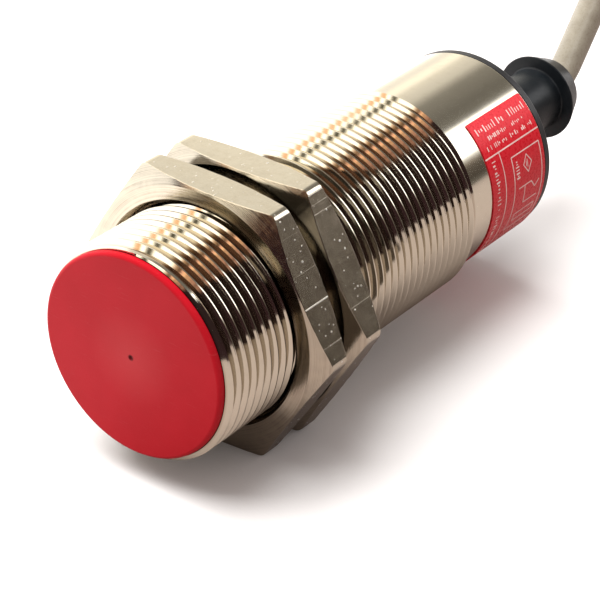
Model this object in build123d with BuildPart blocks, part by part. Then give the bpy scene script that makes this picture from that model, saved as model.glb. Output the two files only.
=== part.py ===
from build123d import *
from math import cos, radians, sin, sqrt, tan
import os

# M30 x 1.5 cylindrical inductive proximity sensor with a moulded-in cable and two hexagon nuts.
# Millimetres. The barrel's axis is +Y, the origin is the centre of the sensing face, which looks
# towards -Y, and +Z is up when the sensor rests on the flats of its nuts.

# ---------------------------------------------------------------- driving dimensions
GAP = 0.05  # running and assembly gap between separate pieces

THREAD_MAJOR_R = 14.95
THREAD_PITCH = 1.5
THREAD_DEPTH = 0.92
CREST_FLAT = THREAD_PITCH / 8
FLANK_HALF_ANGLE = 30.0
THREAD_TURNS = 35

BARREL_FRONT_Y = 0.9
BARREL_REAR_Y = 73.9
BARREL_BORE_R = 12.9
SMOOTH_R = 13.9
THREAD_END_Y = 55.1
LEAD_IN = 0.75  # chamfer where the thread starts
RIM_ROUND = 0.25

CAP_FLANGE_R = 14.1
CAP_WALL = 1.0
CAP_SKIRT_END_Y = 10.5
CAP_SKIRT_INNER_R = 12.2
CAP_EDGE_ROUND = 0.5
DIMPLE_R = 0.35
DIMPLE_DEPTH = 0.2

NUT_ACROSS_FLATS = 36.0
NUT_THICKNESS = 5.0
NUT_BORE_R = THREAD_MAJOR_R + 0.1
NUT_COUNTERSINK = 0.7
NUT_FACE_R = 17.7  # the flat bearing ring's outer radius, where the corner chamfer starts
NUT_CHAMFER_ANGLE = 20.5
NUT_CORNER_BREAK = 0.35  # distance that the six long corners are cut back
FRONT_NUT_Y = 13.2
REAR_NUT_Y = 20.45
FRONT_NUT_TURN = 0.8  # degrees from a flat lying exactly level
REAR_NUT_TURN = -0.8

LABEL_THICKNESS = 0.12
LABEL_START_Y = 60.3
LABEL_END_Y = 73.5
LABEL_FROM_DEG = 37.0  # from straight up, towards +X
LABEL_SPAN_DEG = 210.0

PLUG_SPIGOT_Y = 66.5
PLUG_SPIGOT_R = BARREL_BORE_R - 2 * GAP
PLUG_RIM_END_Y = 75.2
PLUG_RIM_ROUND = 0.4
PLUG_HOLE_R = 5.05
O_RING_SECTION_R = 0.66
O_RING_Y = 70.1
O_RING_GROOVE_R = 11.5
O_RING_GROOVE_WIDTH = 1.8

BOOT_COLLAR_R = 6.5
BOOT_COLLAR_Y = 64.6
BOOT_BASE_R = 6.3
BOOT_BASE_THICKNESS = 1.2
BOOT_NECK_R = 4.6
BOOT_NECK_START_Y = 84.0
BOOT_FLANGE_Y = 93.1
BOOT_FLANGE_R = 6.55
BOOT_END_Y = 97.3
BOOT_END_R = 4.75  # the flange tapers towards its back
BOOT_EDGE_ROUND = 0.5
BOOT_BORE_R = 2.33
BOOT_MOUTH_R = 2.95
BOOT_MOUTH_DEPTH = 1.6
FERRULE_WALL = 1.1
FERRULE_LENGTH = 1.75

CABLE_R = 2.25
CABLE_BORE_R = 1.45
CABLE_START_Y = 62.5
CABLE_BEND_Y = 96.1  # where the tail starts to bend upwards
CABLE_BEND_R = 7.4
CABLE_CLIMB_DEG = 51.0
CABLE_RISE = 13.5
CABLE_CREST_R = 16.0
CABLE_DROOP_DEG = -15.0
STRIPPED_LENGTH = 9.0
BARE_END = 4.0
SPLAY = 3.0  # how far each wire spreads out past the jacket's end

CORE_WIRE_R = 0.65
CORE_STRAND_R = 0.35
CORE_SKIN_GAP = 0.02  # between the strands and their insulation
CORE_SPACING = 4.0  # between the wires' pads on the board
CORE_PAD_Y = 48.5
CORE_SKIN_Y = 51.4  # where each wire's insulation starts
CORE_FAN_Y = 56.0

POT_CORE_Y = 1.1
POT_CORE_LENGTH = 8.5
POT_CORE_R = 11.9
POT_CORE_BACK = 2.5
POT_CORE_WALL_R = 10.2
POT_CORE_POST_R = 5.4
POT_CORE_HOLE_R = 1.5
SHIELD_THICKNESS = 0.2
BOBBIN_TUBE = 0.6
BOBBIN_FLANGE = 0.5
COIL_R = 9.6
LEAD_R = 0.15
LEAD_X = 2.0
LEAD_Z = 7.8
LEAD_HOLE_R = 0.5
LEAD_PAD_Y = 18.0

CARRIER_R = 12.1
CARRIER_THICKNESS = 1.6
CARRIER_PIN_LENGTH = 4.0
CARRIER_ARM_LENGTH = 4.5
CARRIER_ARM_HEIGHT = 1.8
CARRIER_ARM_INSET = 2.0  # how far the forks reach in over the board's edges
CARRIER_ARM_OVERHANG = 0.4

BOARD_WIDTH = 21.0
BOARD_THICKNESS = 1.6
BOARD_CORNER_R = 0.6
BOARD_START_Y = 12.0
BOARD_END_Y = 52.0
CHIP_STANDOFF = 0.1
SOLDER_TAPER_DEG = 28.0
SLEEVE_OUTER_R = 12.5
SLEEVE_WALL = 0.2
SLEEVE_END_Y = 62.0
SEAL_Y = 52.6
SEAL_THICKNESS = 2.8

BOARD_TOP = BOARD_THICKNESS / 2
POT_CORE_END_Y = POT_CORE_Y + POT_CORE_LENGTH
CARRIER_Y = POT_CORE_END_Y + 2 * GAP

os.makedirs("parts", exist_ok=True)


def across(y):
    """The plane square to the barrel's axis at y, with its normal rearwards and its x along +X."""
    return Plane(origin=(0, y, 0), x_dir=(1, 0, 0), z_dir=(0, 1, 0))


def half_section(*points, mode=Mode.ADD):
    """A closed outline of (radius, y) points in the current sketch, to be revolved about the axis."""
    Polygon(*points, align=None, mode=mode)


def ring(inner_r, outer_r, start_y, end_y, mode=Mode.ADD):
    """A rectangular ring's half section in the current sketch."""
    half_section((inner_r, start_y), (outer_r, start_y), (outer_r, end_y), (inner_r, end_y), mode=mode)


def save(part, name):
    part.label = name
    export_step(part, f"parts/{name}.step")


# ---------------------------------------------------------------- housing
def cut_thread_groove(y):
    """Cuts one thread groove, centred on y, out of the current half section."""
    half_opening = (THREAD_PITCH - CREST_FLAT) / 2
    half_root = half_opening - THREAD_DEPTH * tan(radians(FLANK_HALF_ANGLE))
    root_r = THREAD_MAJOR_R - THREAD_DEPTH
    proud = 0.2
    half_top = half_opening + proud * tan(radians(FLANK_HALF_ANGLE))
    top_r = THREAD_MAJOR_R + proud
    half_section(
        (root_r, y - half_root),
        (root_r, y + half_root),
        (top_r, y + half_top),
        (top_r, y - half_top),
        mode=Mode.SUBTRACT,
    )


first_groove_y = BARREL_FRONT_Y + LEAD_IN + THREAD_PITCH / 2
shoulder = THREAD_MAJOR_R - SMOOTH_R

with BuildPart() as threaded_barrel:
    with BuildSketch(Plane.XY):
        half_section(
            (BARREL_BORE_R, BARREL_FRONT_Y),
            (THREAD_MAJOR_R - LEAD_IN, BARREL_FRONT_Y),
            (THREAD_MAJOR_R, BARREL_FRONT_Y + LEAD_IN),
            (THREAD_MAJOR_R, THREAD_END_Y),
            (SMOOTH_R, THREAD_END_Y + shoulder / 2),
            (SMOOTH_R, BARREL_REAR_Y - RIM_ROUND),
            (SMOOTH_R - RIM_ROUND, BARREL_REAR_Y),
            (BARREL_BORE_R, BARREL_REAR_Y),
        )
        for turn in range(THREAD_TURNS):
            cut_thread_groove(first_groove_y + turn * THREAD_PITCH)
    revolve(axis=Axis.Y)
save(threaded_barrel.part, "threaded_barrel")

with BuildPart() as sensing_cap:
    with BuildSketch(Plane.XY):
        half_section(
            (0, DIMPLE_DEPTH),
            (DIMPLE_R, 0),
            (CAP_FLANGE_R, 0),
            (CAP_FLANGE_R, BARREL_FRONT_Y),
            (BARREL_BORE_R - GAP, BARREL_FRONT_Y),
            (BARREL_BORE_R - GAP, CAP_SKIRT_END_Y),
            (CAP_SKIRT_INNER_R, CAP_SKIRT_END_Y),
            (CAP_SKIRT_INNER_R, CAP_WALL),
            (0, CAP_WALL),
        )
    revolve(axis=Axis.Y)
    front_edge = sensing_cap.edges().filter_by(GeomType.CIRCLE).group_by(Axis.Y)[0].sort_by(SortBy.RADIUS)[-1]
    fillet(front_edge, CAP_EDGE_ROUND)
save(sensing_cap.part, "sensing_cap")

with BuildPart() as rating_label:
    with BuildSketch(across(LABEL_START_Y)):
        Circle(SMOOTH_R + GAP / 2 + LABEL_THICKNESS)
        Circle(SMOOTH_R + GAP / 2, mode=Mode.SUBTRACT)
        with BuildLine():
            reach = 2 * SMOOTH_R
            start = LABEL_FROM_DEG - 90
            # the label leaves bare metal over the top of the barrel: this fan covers only its own span
            fan = [start + LABEL_SPAN_DEG * step / 6 for step in range(7)]
            Polyline((0, 0), *[(reach * cos(radians(a)), reach * sin(radians(a))) for a in fan], close=True)
        make_face(mode=Mode.INTERSECT)
    extrude(amount=LABEL_END_Y - LABEL_START_Y)
save(rating_label.part, "rating_label")


# ---------------------------------------------------------------- nuts
def hexagon_nut(front_y, turn):
    """A hexagon nut with both faces' corners chamfered, its long corners broken and its bore countersunk."""
    corner_r = NUT_ACROSS_FLATS / sqrt(3)
    beyond = corner_r + 1
    drop = (beyond - NUT_FACE_R) * tan(radians(NUT_CHAMFER_ANGLE))
    rear_y = front_y + NUT_THICKNESS
    mouth_r = NUT_BORE_R + NUT_COUNTERSINK
    with BuildPart() as nut:
        with BuildSketch(across(front_y)):
            RegularPolygon(corner_r, 6, rotation=turn)
            Circle(corner_r - NUT_CORNER_BREAK, mode=Mode.INTERSECT)
        extrude(amount=NUT_THICKNESS)
        with BuildSketch(Plane.XY):
            half_section(
                (mouth_r, front_y),
                (NUT_FACE_R, front_y),
                (beyond, front_y + drop),
                (beyond, rear_y - drop),
                (NUT_FACE_R, rear_y),
                (mouth_r, rear_y),
                (NUT_BORE_R, rear_y - NUT_COUNTERSINK),
                (NUT_BORE_R, front_y + NUT_COUNTERSINK),
            )
        revolve(axis=Axis.Y, mode=Mode.INTERSECT)
    return nut.part


save(hexagon_nut(FRONT_NUT_Y, FRONT_NUT_TURN), "front_nut")
save(hexagon_nut(REAR_NUT_Y, REAR_NUT_TURN), "rear_nut")

# ---------------------------------------------------------------- rear end
groove_half = O_RING_GROOVE_WIDTH / 2

with BuildPart() as rear_plug:
    with BuildSketch(Plane.XY):
        ring(PLUG_HOLE_R, PLUG_SPIGOT_R, PLUG_SPIGOT_Y, BARREL_REAR_Y)
        ring(PLUG_HOLE_R, SMOOTH_R, BARREL_REAR_Y, PLUG_RIM_END_Y)
        ring(O_RING_GROOVE_R, BARREL_BORE_R, O_RING_Y - groove_half, O_RING_Y + groove_half, Mode.SUBTRACT)
    revolve(axis=Axis.Y)
    rim_edge = rear_plug.edges().filter_by(GeomType.CIRCLE).group_by(Axis.Y)[-1].sort_by(SortBy.RADIUS)[-1]
    fillet(rim_edge, PLUG_RIM_ROUND)
save(rear_plug.part, "rear_plug")

with BuildPart() as plug_o_ring:
    with BuildSketch(Plane.XY):
        with Locations((BARREL_BORE_R - GAP - O_RING_SECTION_R, O_RING_Y)):
            Circle(O_RING_SECTION_R)
    revolve(axis=Axis.Y)
save(plug_o_ring.part, "plug_o_ring")

with BuildPart() as strain_relief_boot:
    with BuildSketch(Plane.XY):
        with BuildLine():
            inside = Polyline(
                (BOOT_BASE_R, PLUG_RIM_END_Y + BOOT_BASE_THICKNESS),
                (BOOT_BASE_R, PLUG_RIM_END_Y + GAP),
                (PLUG_HOLE_R - GAP, PLUG_RIM_END_Y + GAP),
                (PLUG_HOLE_R - GAP, PLUG_SPIGOT_Y - 2 * GAP),
                (BOOT_COLLAR_R, PLUG_SPIGOT_Y - 2 * GAP),
                (BOOT_COLLAR_R, BOOT_COLLAR_Y),
                (BOOT_BORE_R, BOOT_COLLAR_Y),
                (BOOT_BORE_R, BOOT_END_Y - BOOT_MOUTH_DEPTH),
                (BOOT_MOUTH_R, BOOT_END_Y),
                (BOOT_END_R, BOOT_END_Y),
                (BOOT_FLANGE_R, BOOT_FLANGE_Y),
                (BOOT_NECK_R, BOOT_FLANGE_Y),
                (BOOT_NECK_R, BOOT_NECK_START_Y),
            )
            # the neck sweeps out to the base in one smooth curve
            Spline(inside @ 1, inside @ 0, tangents=[(0, -1), (1, -0.4)])
        make_face()
    revolve(axis=Axis.Y)
    back_edge = strain_relief_boot.edges().filter_by(GeomType.CIRCLE).group_by(Axis.Y)[-1]
    fillet(back_edge.sort_by(SortBy.RADIUS)[-1], BOOT_EDGE_ROUND)
save(strain_relief_boot.part, "strain_relief_boot")

with BuildPart() as crimp_ferrule:
    with BuildSketch(Plane.XY):
        ferrule_end = BOOT_COLLAR_Y - GAP
        ring(CABLE_R + GAP / 2, CABLE_R + FERRULE_WALL, ferrule_end - FERRULE_LENGTH, ferrule_end)
    revolve(axis=Axis.Y)
save(crimp_ferrule.part, "crimp_ferrule")

# ---------------------------------------------------------------- cable
climb = radians(CABLE_CLIMB_DEG)
droop = radians(CABLE_DROOP_DEG)


def bend_point(side, lift, heading):
    """A point in the tail's first bend, offset sideways and towards the bend's inside."""
    r = CABLE_BEND_R - lift
    return (side, CABLE_BEND_Y + r * sin(heading), CABLE_BEND_R - r * cos(heading))


def crest_point(side, lift, heading):
    """A point in the tail's second bend, where it turns over and droops."""
    top = bend_point(0, 0, climb)
    centre_y = top[1] + CABLE_RISE * cos(climb) + CABLE_CREST_R * sin(climb)
    centre_z = top[2] + CABLE_RISE * sin(climb) - CABLE_CREST_R * cos(climb)
    r = CABLE_CREST_R + lift
    return (side, centre_y - r * sin(heading), centre_z + r * cos(heading))


def tail_line(side, lift, start_y):
    """The tail's line in the current BuildLine: straight, bent up, straight, then bent over."""
    Line((side, start_y, lift), bend_point(side, lift, 0))
    ThreePointArc(*[bend_point(side, lift, climb * part) for part in (0, 0.5, 1)])
    Line(bend_point(side, lift, climb), crest_point(side, lift, climb))
    ThreePointArc(*[crest_point(side, lift, h) for h in (climb, (climb + droop) / 2, droop)])


with BuildPart() as cable_jacket:
    with BuildLine() as jacket_line:
        tail_line(0, 0, CABLE_START_Y)
    with BuildSketch(across(CABLE_START_Y)):
        Circle(CABLE_R)
        Circle(CABLE_BORE_R, mode=Mode.SUBTRACT)
    sweep(path=jacket_line.wires()[0])
save(cable_jacket.part, "cable_jacket")


def wire_line(pad_x, side, lift, start_y, tail):
    """One wire's line: from its pad straight back, into the cable, along it, and splayed past its end."""
    pad_z = BOARD_TOP + CORE_WIRE_R + GAP
    end = crest_point(side, lift, droop)
    forward = (0, cos(droop), sin(droop))
    spread = SPLAY * side / CORE_WIRE_R, SPLAY * lift / CORE_WIRE_R
    tip = (
        end[0] + spread[0],
        end[1] + STRIPPED_LENGTH * forward[1],
        end[2] + STRIPPED_LENGTH * forward[2] + spread[1],
    )
    with BuildLine() as line:
        Line((pad_x, start_y, pad_z), (pad_x, CORE_FAN_Y, pad_z))
        Spline(
            (pad_x, CORE_FAN_Y, pad_z),
            (side, CABLE_START_Y, lift),
            tangents=[(0, 1, 0), (0, 1, 0)],
        )
        tail_line(side, lift, CABLE_START_Y)
        splayed = Spline(end, tip, tangents=[forward, forward])
        if tail:
            Line(splayed @ 1, splayed @ 1 + splayed % 1 * tail)
    return line.wires()[0]


def insulated_wire(colour, pad_x, side, lift):
    """A conductor's two pieces: its insulation and the copper strands inside it, bare at both ends."""
    skin_line = wire_line(pad_x, side, lift, CORE_SKIN_Y, 0)
    with BuildPart() as insulation:
        with BuildSketch(Plane(origin=skin_line @ 0, x_dir=(1, 0, 0), z_dir=(0, 1, 0))):
            Circle(CORE_WIRE_R)
            Circle(CORE_STRAND_R + CORE_SKIN_GAP, mode=Mode.SUBTRACT)
        sweep(path=skin_line)
    save(insulation.part, f"{colour}_wire_insulation")
    strand_line = wire_line(pad_x, side, lift, CORE_PAD_Y, BARE_END)
    with BuildPart() as strands:
        with BuildSketch(Plane(origin=strand_line @ 0, x_dir=(1, 0, 0), z_dir=(0, 1, 0))):
            Circle(CORE_STRAND_R)
        sweep(path=strand_line)
    save(strands.part, f"{colour}_wire_strands")


# three wires lie in a triangle inside the jacket
triangle_r = 2 * CORE_WIRE_R / sqrt(3) + GAP / 2
for index, colour in enumerate(("brown", "blue", "black")):
    around = radians(210 - 120 * index)
    insulated_wire(colour, CORE_SPACING * (index - 1), triangle_r * cos(around), triangle_r * sin(around))

# ---------------------------------------------------------------- sensing coil
lead_places = [(-LEAD_X, -LEAD_Z), (LEAD_X, -LEAD_Z)]  # on a plane across the axis, y runs downwards
coil_cavity_end = POT_CORE_END_Y - POT_CORE_BACK
bobbin_r = POT_CORE_POST_R + 2 * GAP
bobbin_start = POT_CORE_Y + 4 * GAP
bobbin_end = coil_cavity_end - 4 * GAP

with BuildPart() as ferrite_core:
    with BuildSketch(Plane.XY):
        ring(POT_CORE_HOLE_R, POT_CORE_R, POT_CORE_Y, POT_CORE_END_Y)
        ring(POT_CORE_POST_R, POT_CORE_WALL_R, POT_CORE_Y - GAP, coil_cavity_end, Mode.SUBTRACT)
    revolve(axis=Axis.Y)
    with BuildSketch(across(coil_cavity_end - GAP)):
        with Locations(*lead_places):
            Circle(LEAD_HOLE_R)
    extrude(amount=POT_CORE_BACK + 2 * GAP, mode=Mode.SUBTRACT)
save(ferrite_core.part, "ferrite_core")

with BuildPart() as coil_bobbin:
    with BuildSketch(Plane.XY):
        ring(bobbin_r, bobbin_r + BOBBIN_TUBE, bobbin_start, bobbin_end)
        ring(bobbin_r, POT_CORE_WALL_R - 2 * GAP, bobbin_start, bobbin_start + BOBBIN_FLANGE)
        ring(bobbin_r, POT_CORE_WALL_R - 2 * GAP, bobbin_end - BOBBIN_FLANGE, bobbin_end)
    revolve(axis=Axis.Y)
    with BuildSketch(across(bobbin_end - BOBBIN_FLANGE)):
        with Locations(*lead_places):
            Circle(LEAD_HOLE_R)
    extrude(amount=BOBBIN_FLANGE, mode=Mode.SUBTRACT)
save(coil_bobbin.part, "coil_bobbin")

with BuildPart() as coil_winding:
    with BuildSketch(Plane.XY):
        winding_start = bobbin_start + BOBBIN_FLANGE + GAP
        winding_end = bobbin_end - BOBBIN_FLANGE - GAP
        ring(bobbin_r + BOBBIN_TUBE + GAP, COIL_R, winding_start, winding_end)
    revolve(axis=Axis.Y)
save(coil_winding.part, "coil_winding")

with BuildPart() as shield_ring:
    with BuildSketch(Plane.XY):
        ring(POT_CORE_R + GAP, POT_CORE_R + GAP + SHIELD_THICKNESS, POT_CORE_Y, POT_CORE_END_Y)
    revolve(axis=Axis.Y)
save(shield_ring.part, "shield_ring")

with BuildPart() as coil_leads:
    for lead_x in (-LEAD_X, LEAD_X):
        with BuildLine() as lead_line:
            straight = Line((lead_x, bobbin_end - BOBBIN_FLANGE, LEAD_Z), (lead_x, BOARD_START_Y, LEAD_Z))
            landing = (lead_x, LEAD_PAD_Y, BOARD_TOP + LEAD_R + GAP)
            Spline(straight @ 1, landing, tangents=[(0, 1, 0), (0, 1, -0.2)])
        with BuildSketch(Plane(origin=straight @ 0, x_dir=(1, 0, 0), z_dir=(0, 1, 0))):
            Circle(LEAD_R)
        sweep(path=lead_line.wires()[0])
save(coil_leads.part, "coil_leads")

arm_inner_x = BOARD_WIDTH / 2 - CARRIER_ARM_INSET
arm_outer_x = BOARD_WIDTH / 2 + CARRIER_ARM_OVERHANG
arm_level = BOARD_TOP + GAP + CARRIER_ARM_HEIGHT / 2

with BuildPart() as core_carrier:
    with BuildSketch(across(CARRIER_Y)):
        Circle(CARRIER_R)
        with Locations(*lead_places):
            Circle(LEAD_HOLE_R, mode=Mode.SUBTRACT)
    extrude(amount=CARRIER_THICKNESS)
    # the locating pin in the core's centre hole
    with BuildSketch(across(CARRIER_Y)):
        Circle(POT_CORE_HOLE_R - GAP)
    extrude(amount=-CARRIER_PIN_LENGTH)
    # the two forks that grip the board's edges
    with BuildSketch(across(CARRIER_Y + CARRIER_THICKNESS)):
        with GridLocations(arm_inner_x + arm_outer_x, 2 * arm_level, 2, 2):
            Rectangle(arm_outer_x - arm_inner_x, CARRIER_ARM_HEIGHT)
    extrude(amount=CARRIER_ARM_LENGTH)
save(core_carrier.part, "core_carrier")

# ---------------------------------------------------------------- electronics
with BuildPart() as circuit_board:
    with BuildSketch(Plane.XY.offset(-BOARD_TOP)):
        with Locations((0, (BOARD_START_Y + BOARD_END_Y) / 2)):
            Rectangle(BOARD_WIDTH, BOARD_END_Y - BOARD_START_Y)
    extrude(amount=BOARD_THICKNESS)
    fillet(circuit_board.edges().filter_by(Axis.Z), BOARD_CORNER_R)
save(circuit_board.part, "circuit_board")


def surface_block(length, width, height, x, y, standoff=0.0):
    """A block on the board's top face, its length along the board, in the current part."""
    with BuildSketch(Plane.XY.offset(BOARD_TOP + standoff)) as footprint:
        with Locations((x, y)):
            Rectangle(width, length)
    extrude(footprint.sketch, amount=height)


def gull_wing_pins(count, pitch, edge_x, y, side):
    """A row of bent legs from a chip body's edge at edge_x outwards, in the current part."""
    width, thickness, height = 0.4, 0.2, 0.8
    foot_length, shoulder_length = 0.9, 0.7
    riser_x = edge_x + side * 0.35
    foot_x = riser_x + side * (foot_length - thickness) / 2
    shoulder_x = riser_x - side * (shoulder_length - thickness) / 2
    for pin in range(count):
        pin_y = y + (pin - (count - 1) / 2) * pitch
        surface_block(width, foot_length, thickness, foot_x, pin_y)
        surface_block(width, thickness, height, riser_x, pin_y)
        surface_block(width, shoulder_length, thickness, shoulder_x, pin_y, height - thickness)


def chip_parts(places, height):
    """Small two-ended chip parts at their places on the board, in the current part."""
    length, width = 2.0, 1.25
    for x, y in places:
        surface_block(length, width, height, x, y)


# a 14-pin small-outline chip
chip_length, chip_width, chip_height, chip_y = 8.7, 3.9, 1.4, 26.0
with BuildPart() as oscillator_chip:
    surface_block(chip_length, chip_width, chip_height, 0, chip_y, CHIP_STANDOFF)
    for chip_side in (-1, 1):
        gull_wing_pins(7, 1.27, chip_side * chip_width / 2, chip_y, chip_side)
save(oscillator_chip.part, "oscillator_chip")

# a power transistor with three legs and a heat-sinking tab
transistor_length, transistor_width, transistor_height = 6.5, 3.5, 1.6
transistor_x, transistor_y = 4.6, 41.0
tab_length, tab_reach, tab_thickness = 3.0, 1.7, 0.3
with BuildPart() as output_transistor:
    surface_block(
        transistor_length, transistor_width, transistor_height, transistor_x, transistor_y, CHIP_STANDOFF
    )
    gull_wing_pins(3, 2.3, transistor_x - transistor_width / 2, transistor_y, -1)
    tab_x = transistor_x + transistor_width / 2 + tab_reach / 2
    surface_block(tab_length, tab_reach + 0.4, tab_thickness, tab_x - 0.2, transistor_y)
save(output_transistor.part, "output_transistor")

capacitor_x, capacitor_y = -5.0, 42.0
with BuildPart() as tantalum_capacitor:
    surface_block(7.3, 4.3, 2.8, capacitor_x, capacitor_y)
    fillet(tantalum_capacitor.edges().group_by(Axis.Z)[-1], 0.3)
save(tantalum_capacitor.part, "tantalum_capacitor")

diode_x, diode_y = -6.2, 33.0
with BuildPart() as protection_diode:
    surface_block(4.3, 2.6, 2.0, diode_x, diode_y, CHIP_STANDOFF)
    surface_block(5.4, 1.4, 0.3, diode_x, diode_y)  # the end tabs, in one strip under the body
    chamfer(protection_diode.edges().group_by(Axis.Z)[-1], 0.3)
save(protection_diode.part, "protection_diode")

with BuildPart() as chip_resistors:
    chip_parts([(-6.5, 20.5), (6.5, 20.5), (6.5, 24.5), (-6.5, 24.5), (5.5, 34.5), (1.0, 34.5)], 0.5)
save(chip_resistors.part, "chip_resistors")

with BuildPart() as chip_capacitors:
    chip_parts([(-6.5, 28.0), (6.5, 28.5), (8.5, 34.5), (-2.0, 34.5)], 1.2)
save(chip_capacitors.part, "chip_capacitors")

with BuildPart() as solder_joints:
    wire_pad_r, lead_pad_r = 1.1, 0.7
    pads = [(CORE_SPACING * (index - 1), CORE_PAD_Y + 1.0, wire_pad_r) for index in range(3)]
    pads += [(lead_x, LEAD_PAD_Y - 0.3, lead_pad_r) for lead_x in (-LEAD_X, LEAD_X)]
    for x, y, radius in pads:
        with BuildSketch(Plane.XY.offset(BOARD_TOP)):
            with Locations((x, y)):
                Circle(radius)
        extrude(amount=radius, taper=SOLDER_TAPER_DEG)
save(solder_joints.part, "solder_joints")

with BuildPart() as insulating_sleeve:
    with BuildSketch(Plane.XY):
        sleeve_start = CARRIER_Y + CARRIER_THICKNESS + GAP
        ring(SLEEVE_OUTER_R - SLEEVE_WALL, SLEEVE_OUTER_R, sleeve_start, SLEEVE_END_Y)
    revolve(axis=Axis.Y)
save(insulating_sleeve.part, "insulating_sleeve")

with BuildPart() as potting_seal:
    with BuildSketch(across(SEAL_Y)):
        Circle(SLEEVE_OUTER_R - SLEEVE_WALL - GAP)
        with Locations((0, -(BOARD_TOP + CORE_WIRE_R + GAP))):
            with GridLocations(CORE_SPACING, 0, 3, 1):
                Circle(CORE_WIRE_R + GAP / 2, mode=Mode.SUBTRACT)
    extrude(amount=SEAL_THICKNESS)
save(potting_seal.part, "potting_seal")
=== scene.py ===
"""The looks of an M30 cylindrical proximity sensor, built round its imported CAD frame.

Shapes are worked out in millimetres in the part's own frame (+Y along the barrel from the sensing face,
+Z up) and turned into metres as each piece is made. Angles round the barrel run from +Z towards +X.
"""

import math
import random

import bmesh
import bpy
from mathutils import Matrix, Vector, noise


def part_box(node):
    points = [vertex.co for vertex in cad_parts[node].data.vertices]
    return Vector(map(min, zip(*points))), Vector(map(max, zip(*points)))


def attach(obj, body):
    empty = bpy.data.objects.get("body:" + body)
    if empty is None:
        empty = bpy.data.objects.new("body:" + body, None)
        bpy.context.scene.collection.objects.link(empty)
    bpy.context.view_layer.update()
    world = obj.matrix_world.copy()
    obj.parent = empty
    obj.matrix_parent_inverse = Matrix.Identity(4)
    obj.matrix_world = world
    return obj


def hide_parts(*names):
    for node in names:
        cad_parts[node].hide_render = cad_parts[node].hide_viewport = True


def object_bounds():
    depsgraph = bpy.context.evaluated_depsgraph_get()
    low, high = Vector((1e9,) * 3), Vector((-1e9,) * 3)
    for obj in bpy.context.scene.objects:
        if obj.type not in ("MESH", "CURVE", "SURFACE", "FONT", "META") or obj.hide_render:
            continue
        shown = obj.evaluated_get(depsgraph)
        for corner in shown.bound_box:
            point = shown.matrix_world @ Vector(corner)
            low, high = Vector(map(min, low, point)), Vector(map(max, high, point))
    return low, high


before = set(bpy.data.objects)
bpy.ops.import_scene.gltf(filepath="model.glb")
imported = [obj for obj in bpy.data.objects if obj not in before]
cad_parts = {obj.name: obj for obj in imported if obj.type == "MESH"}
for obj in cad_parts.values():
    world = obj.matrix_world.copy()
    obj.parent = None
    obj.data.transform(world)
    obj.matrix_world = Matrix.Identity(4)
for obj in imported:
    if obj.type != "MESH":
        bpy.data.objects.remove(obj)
cad_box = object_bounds()
random.seed(30)

MM = 0.001
GAP = 0.05  # what the CAD leaves between neighbouring solids


def box_mm(node):
    """A CAD node's lowest and highest corners, in millimetres."""
    low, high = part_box(node)
    return low / MM, high / MM


# ---------------------------------------------------------------- sizes, from the frame and the design
barrel_low, barrel_high = box_mm("threaded_barrel")
cap_high = box_mm("sensing_cap")[1]
label_low, label_high = box_mm("rating_label")
plug_low, plug_high = box_mm("rear_plug")
boot_low, boot_high = box_mm("strain_relief_boot")

# the barrel; its thread is a true helix here, where the CAD has ring grooves
THREAD_R = barrel_high.x
THREAD_PITCH = 1.5
THREAD_DEPTH = 0.92
THREAD_START = 0.2  # from the front edge to the first crest, where the thread passes the top
THREAD_END_Y = 55.1
LEAD_IN = 0.75
CREST_WIDTH = 0.19
CREST_ROUND = 0.06
ROOT_ROUND = 0.10
SMOOTH_R = 13.9
BORE_R = 12.9

CAP_WALL = 0.65
CAP_FACE_THICKNESS = 1.0
CAP_RIM_ROUND = 0.55
GATE_R = 0.34
GATE_DEPTH = 0.20

NUT_ACROSS_FLATS = 36.0
NUT_BORE_R = 15.05
NUT_COUNTERSINK = 0.7
NUT_RING_R = 16.6  # an extra edge loop on the face, between the countersink and the chamfer
NUT_FACE_R = 17.7
NUT_CHAMFER_SLOPE = math.tan(math.radians(20.5))
NUT_CORNER_ROUND = 1.3
NUT_EDGE = 0.07
NUT_TURN_DEG = 0.8  # the nuts stand turned by this much to either side

LABEL_FROM_DEG = 37.0
LABEL_SPAN_DEG = 210.0
LABEL_R = SMOOTH_R + GAP / 2
LABEL_THICKNESS = 0.12
LABEL_CORNER_R = 0.3
INK_SUNK, INK_TOP = 0.10, 0.135  # the ink's lower and upper sides, above the label's inner side

PLUG_R = BORE_R - 2 * GAP
PLUG_BORE_R = 5.05
PLUG_GROOVE_R = 11.5
PLUG_GROOVE_Y = (69.2, 71.0)
PLUG_RIM_R = SMOOTH_R - 0.03

BOOT_COLLAR_R = 6.5
BOOT_SHANK_R = 5.0
BOOT_BASE_R = 6.3
BOOT_BASE_THICKNESS = 1.2
BOOT_NECK_R = 4.6
BOOT_NECK_START_Y = 84.0
BOOT_FLANGE_Y = 93.1
BOOT_END_R = 4.75
BOOT_MOUTH_R = 2.95
BOOT_MOUTH_DEPTH = 1.6
BOOT_BORE_R = 2.33

CABLE_R = 2.25
CABLE_BORE_R = 1.45
CABLE_START_Y = 62.5
CABLE_BEND_Y = 96.1
CABLE_BEND_R = 7.4
CABLE_RISE = 13.5
CABLE_CREST_R = 16.0
CLIMB = math.radians(51.0)
DROOP = math.radians(-15.0)

WIRE_R = 0.65
WIRE_SKIN_BORE_R = 0.37
STRAND_BUNDLE_R = 0.35
WIRE_SKIN_START_Y = 51.4
WIRE_CORE_START_Y = 48.5
WIRE_FAN_Y = 56.0
WIRE_SPACING = 4.0
WIRE_PAD_Z = 1.5
STRIPPED_LENGTH = 9.0
BARE_END = 4.0
SPLAY = 3.0


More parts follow.
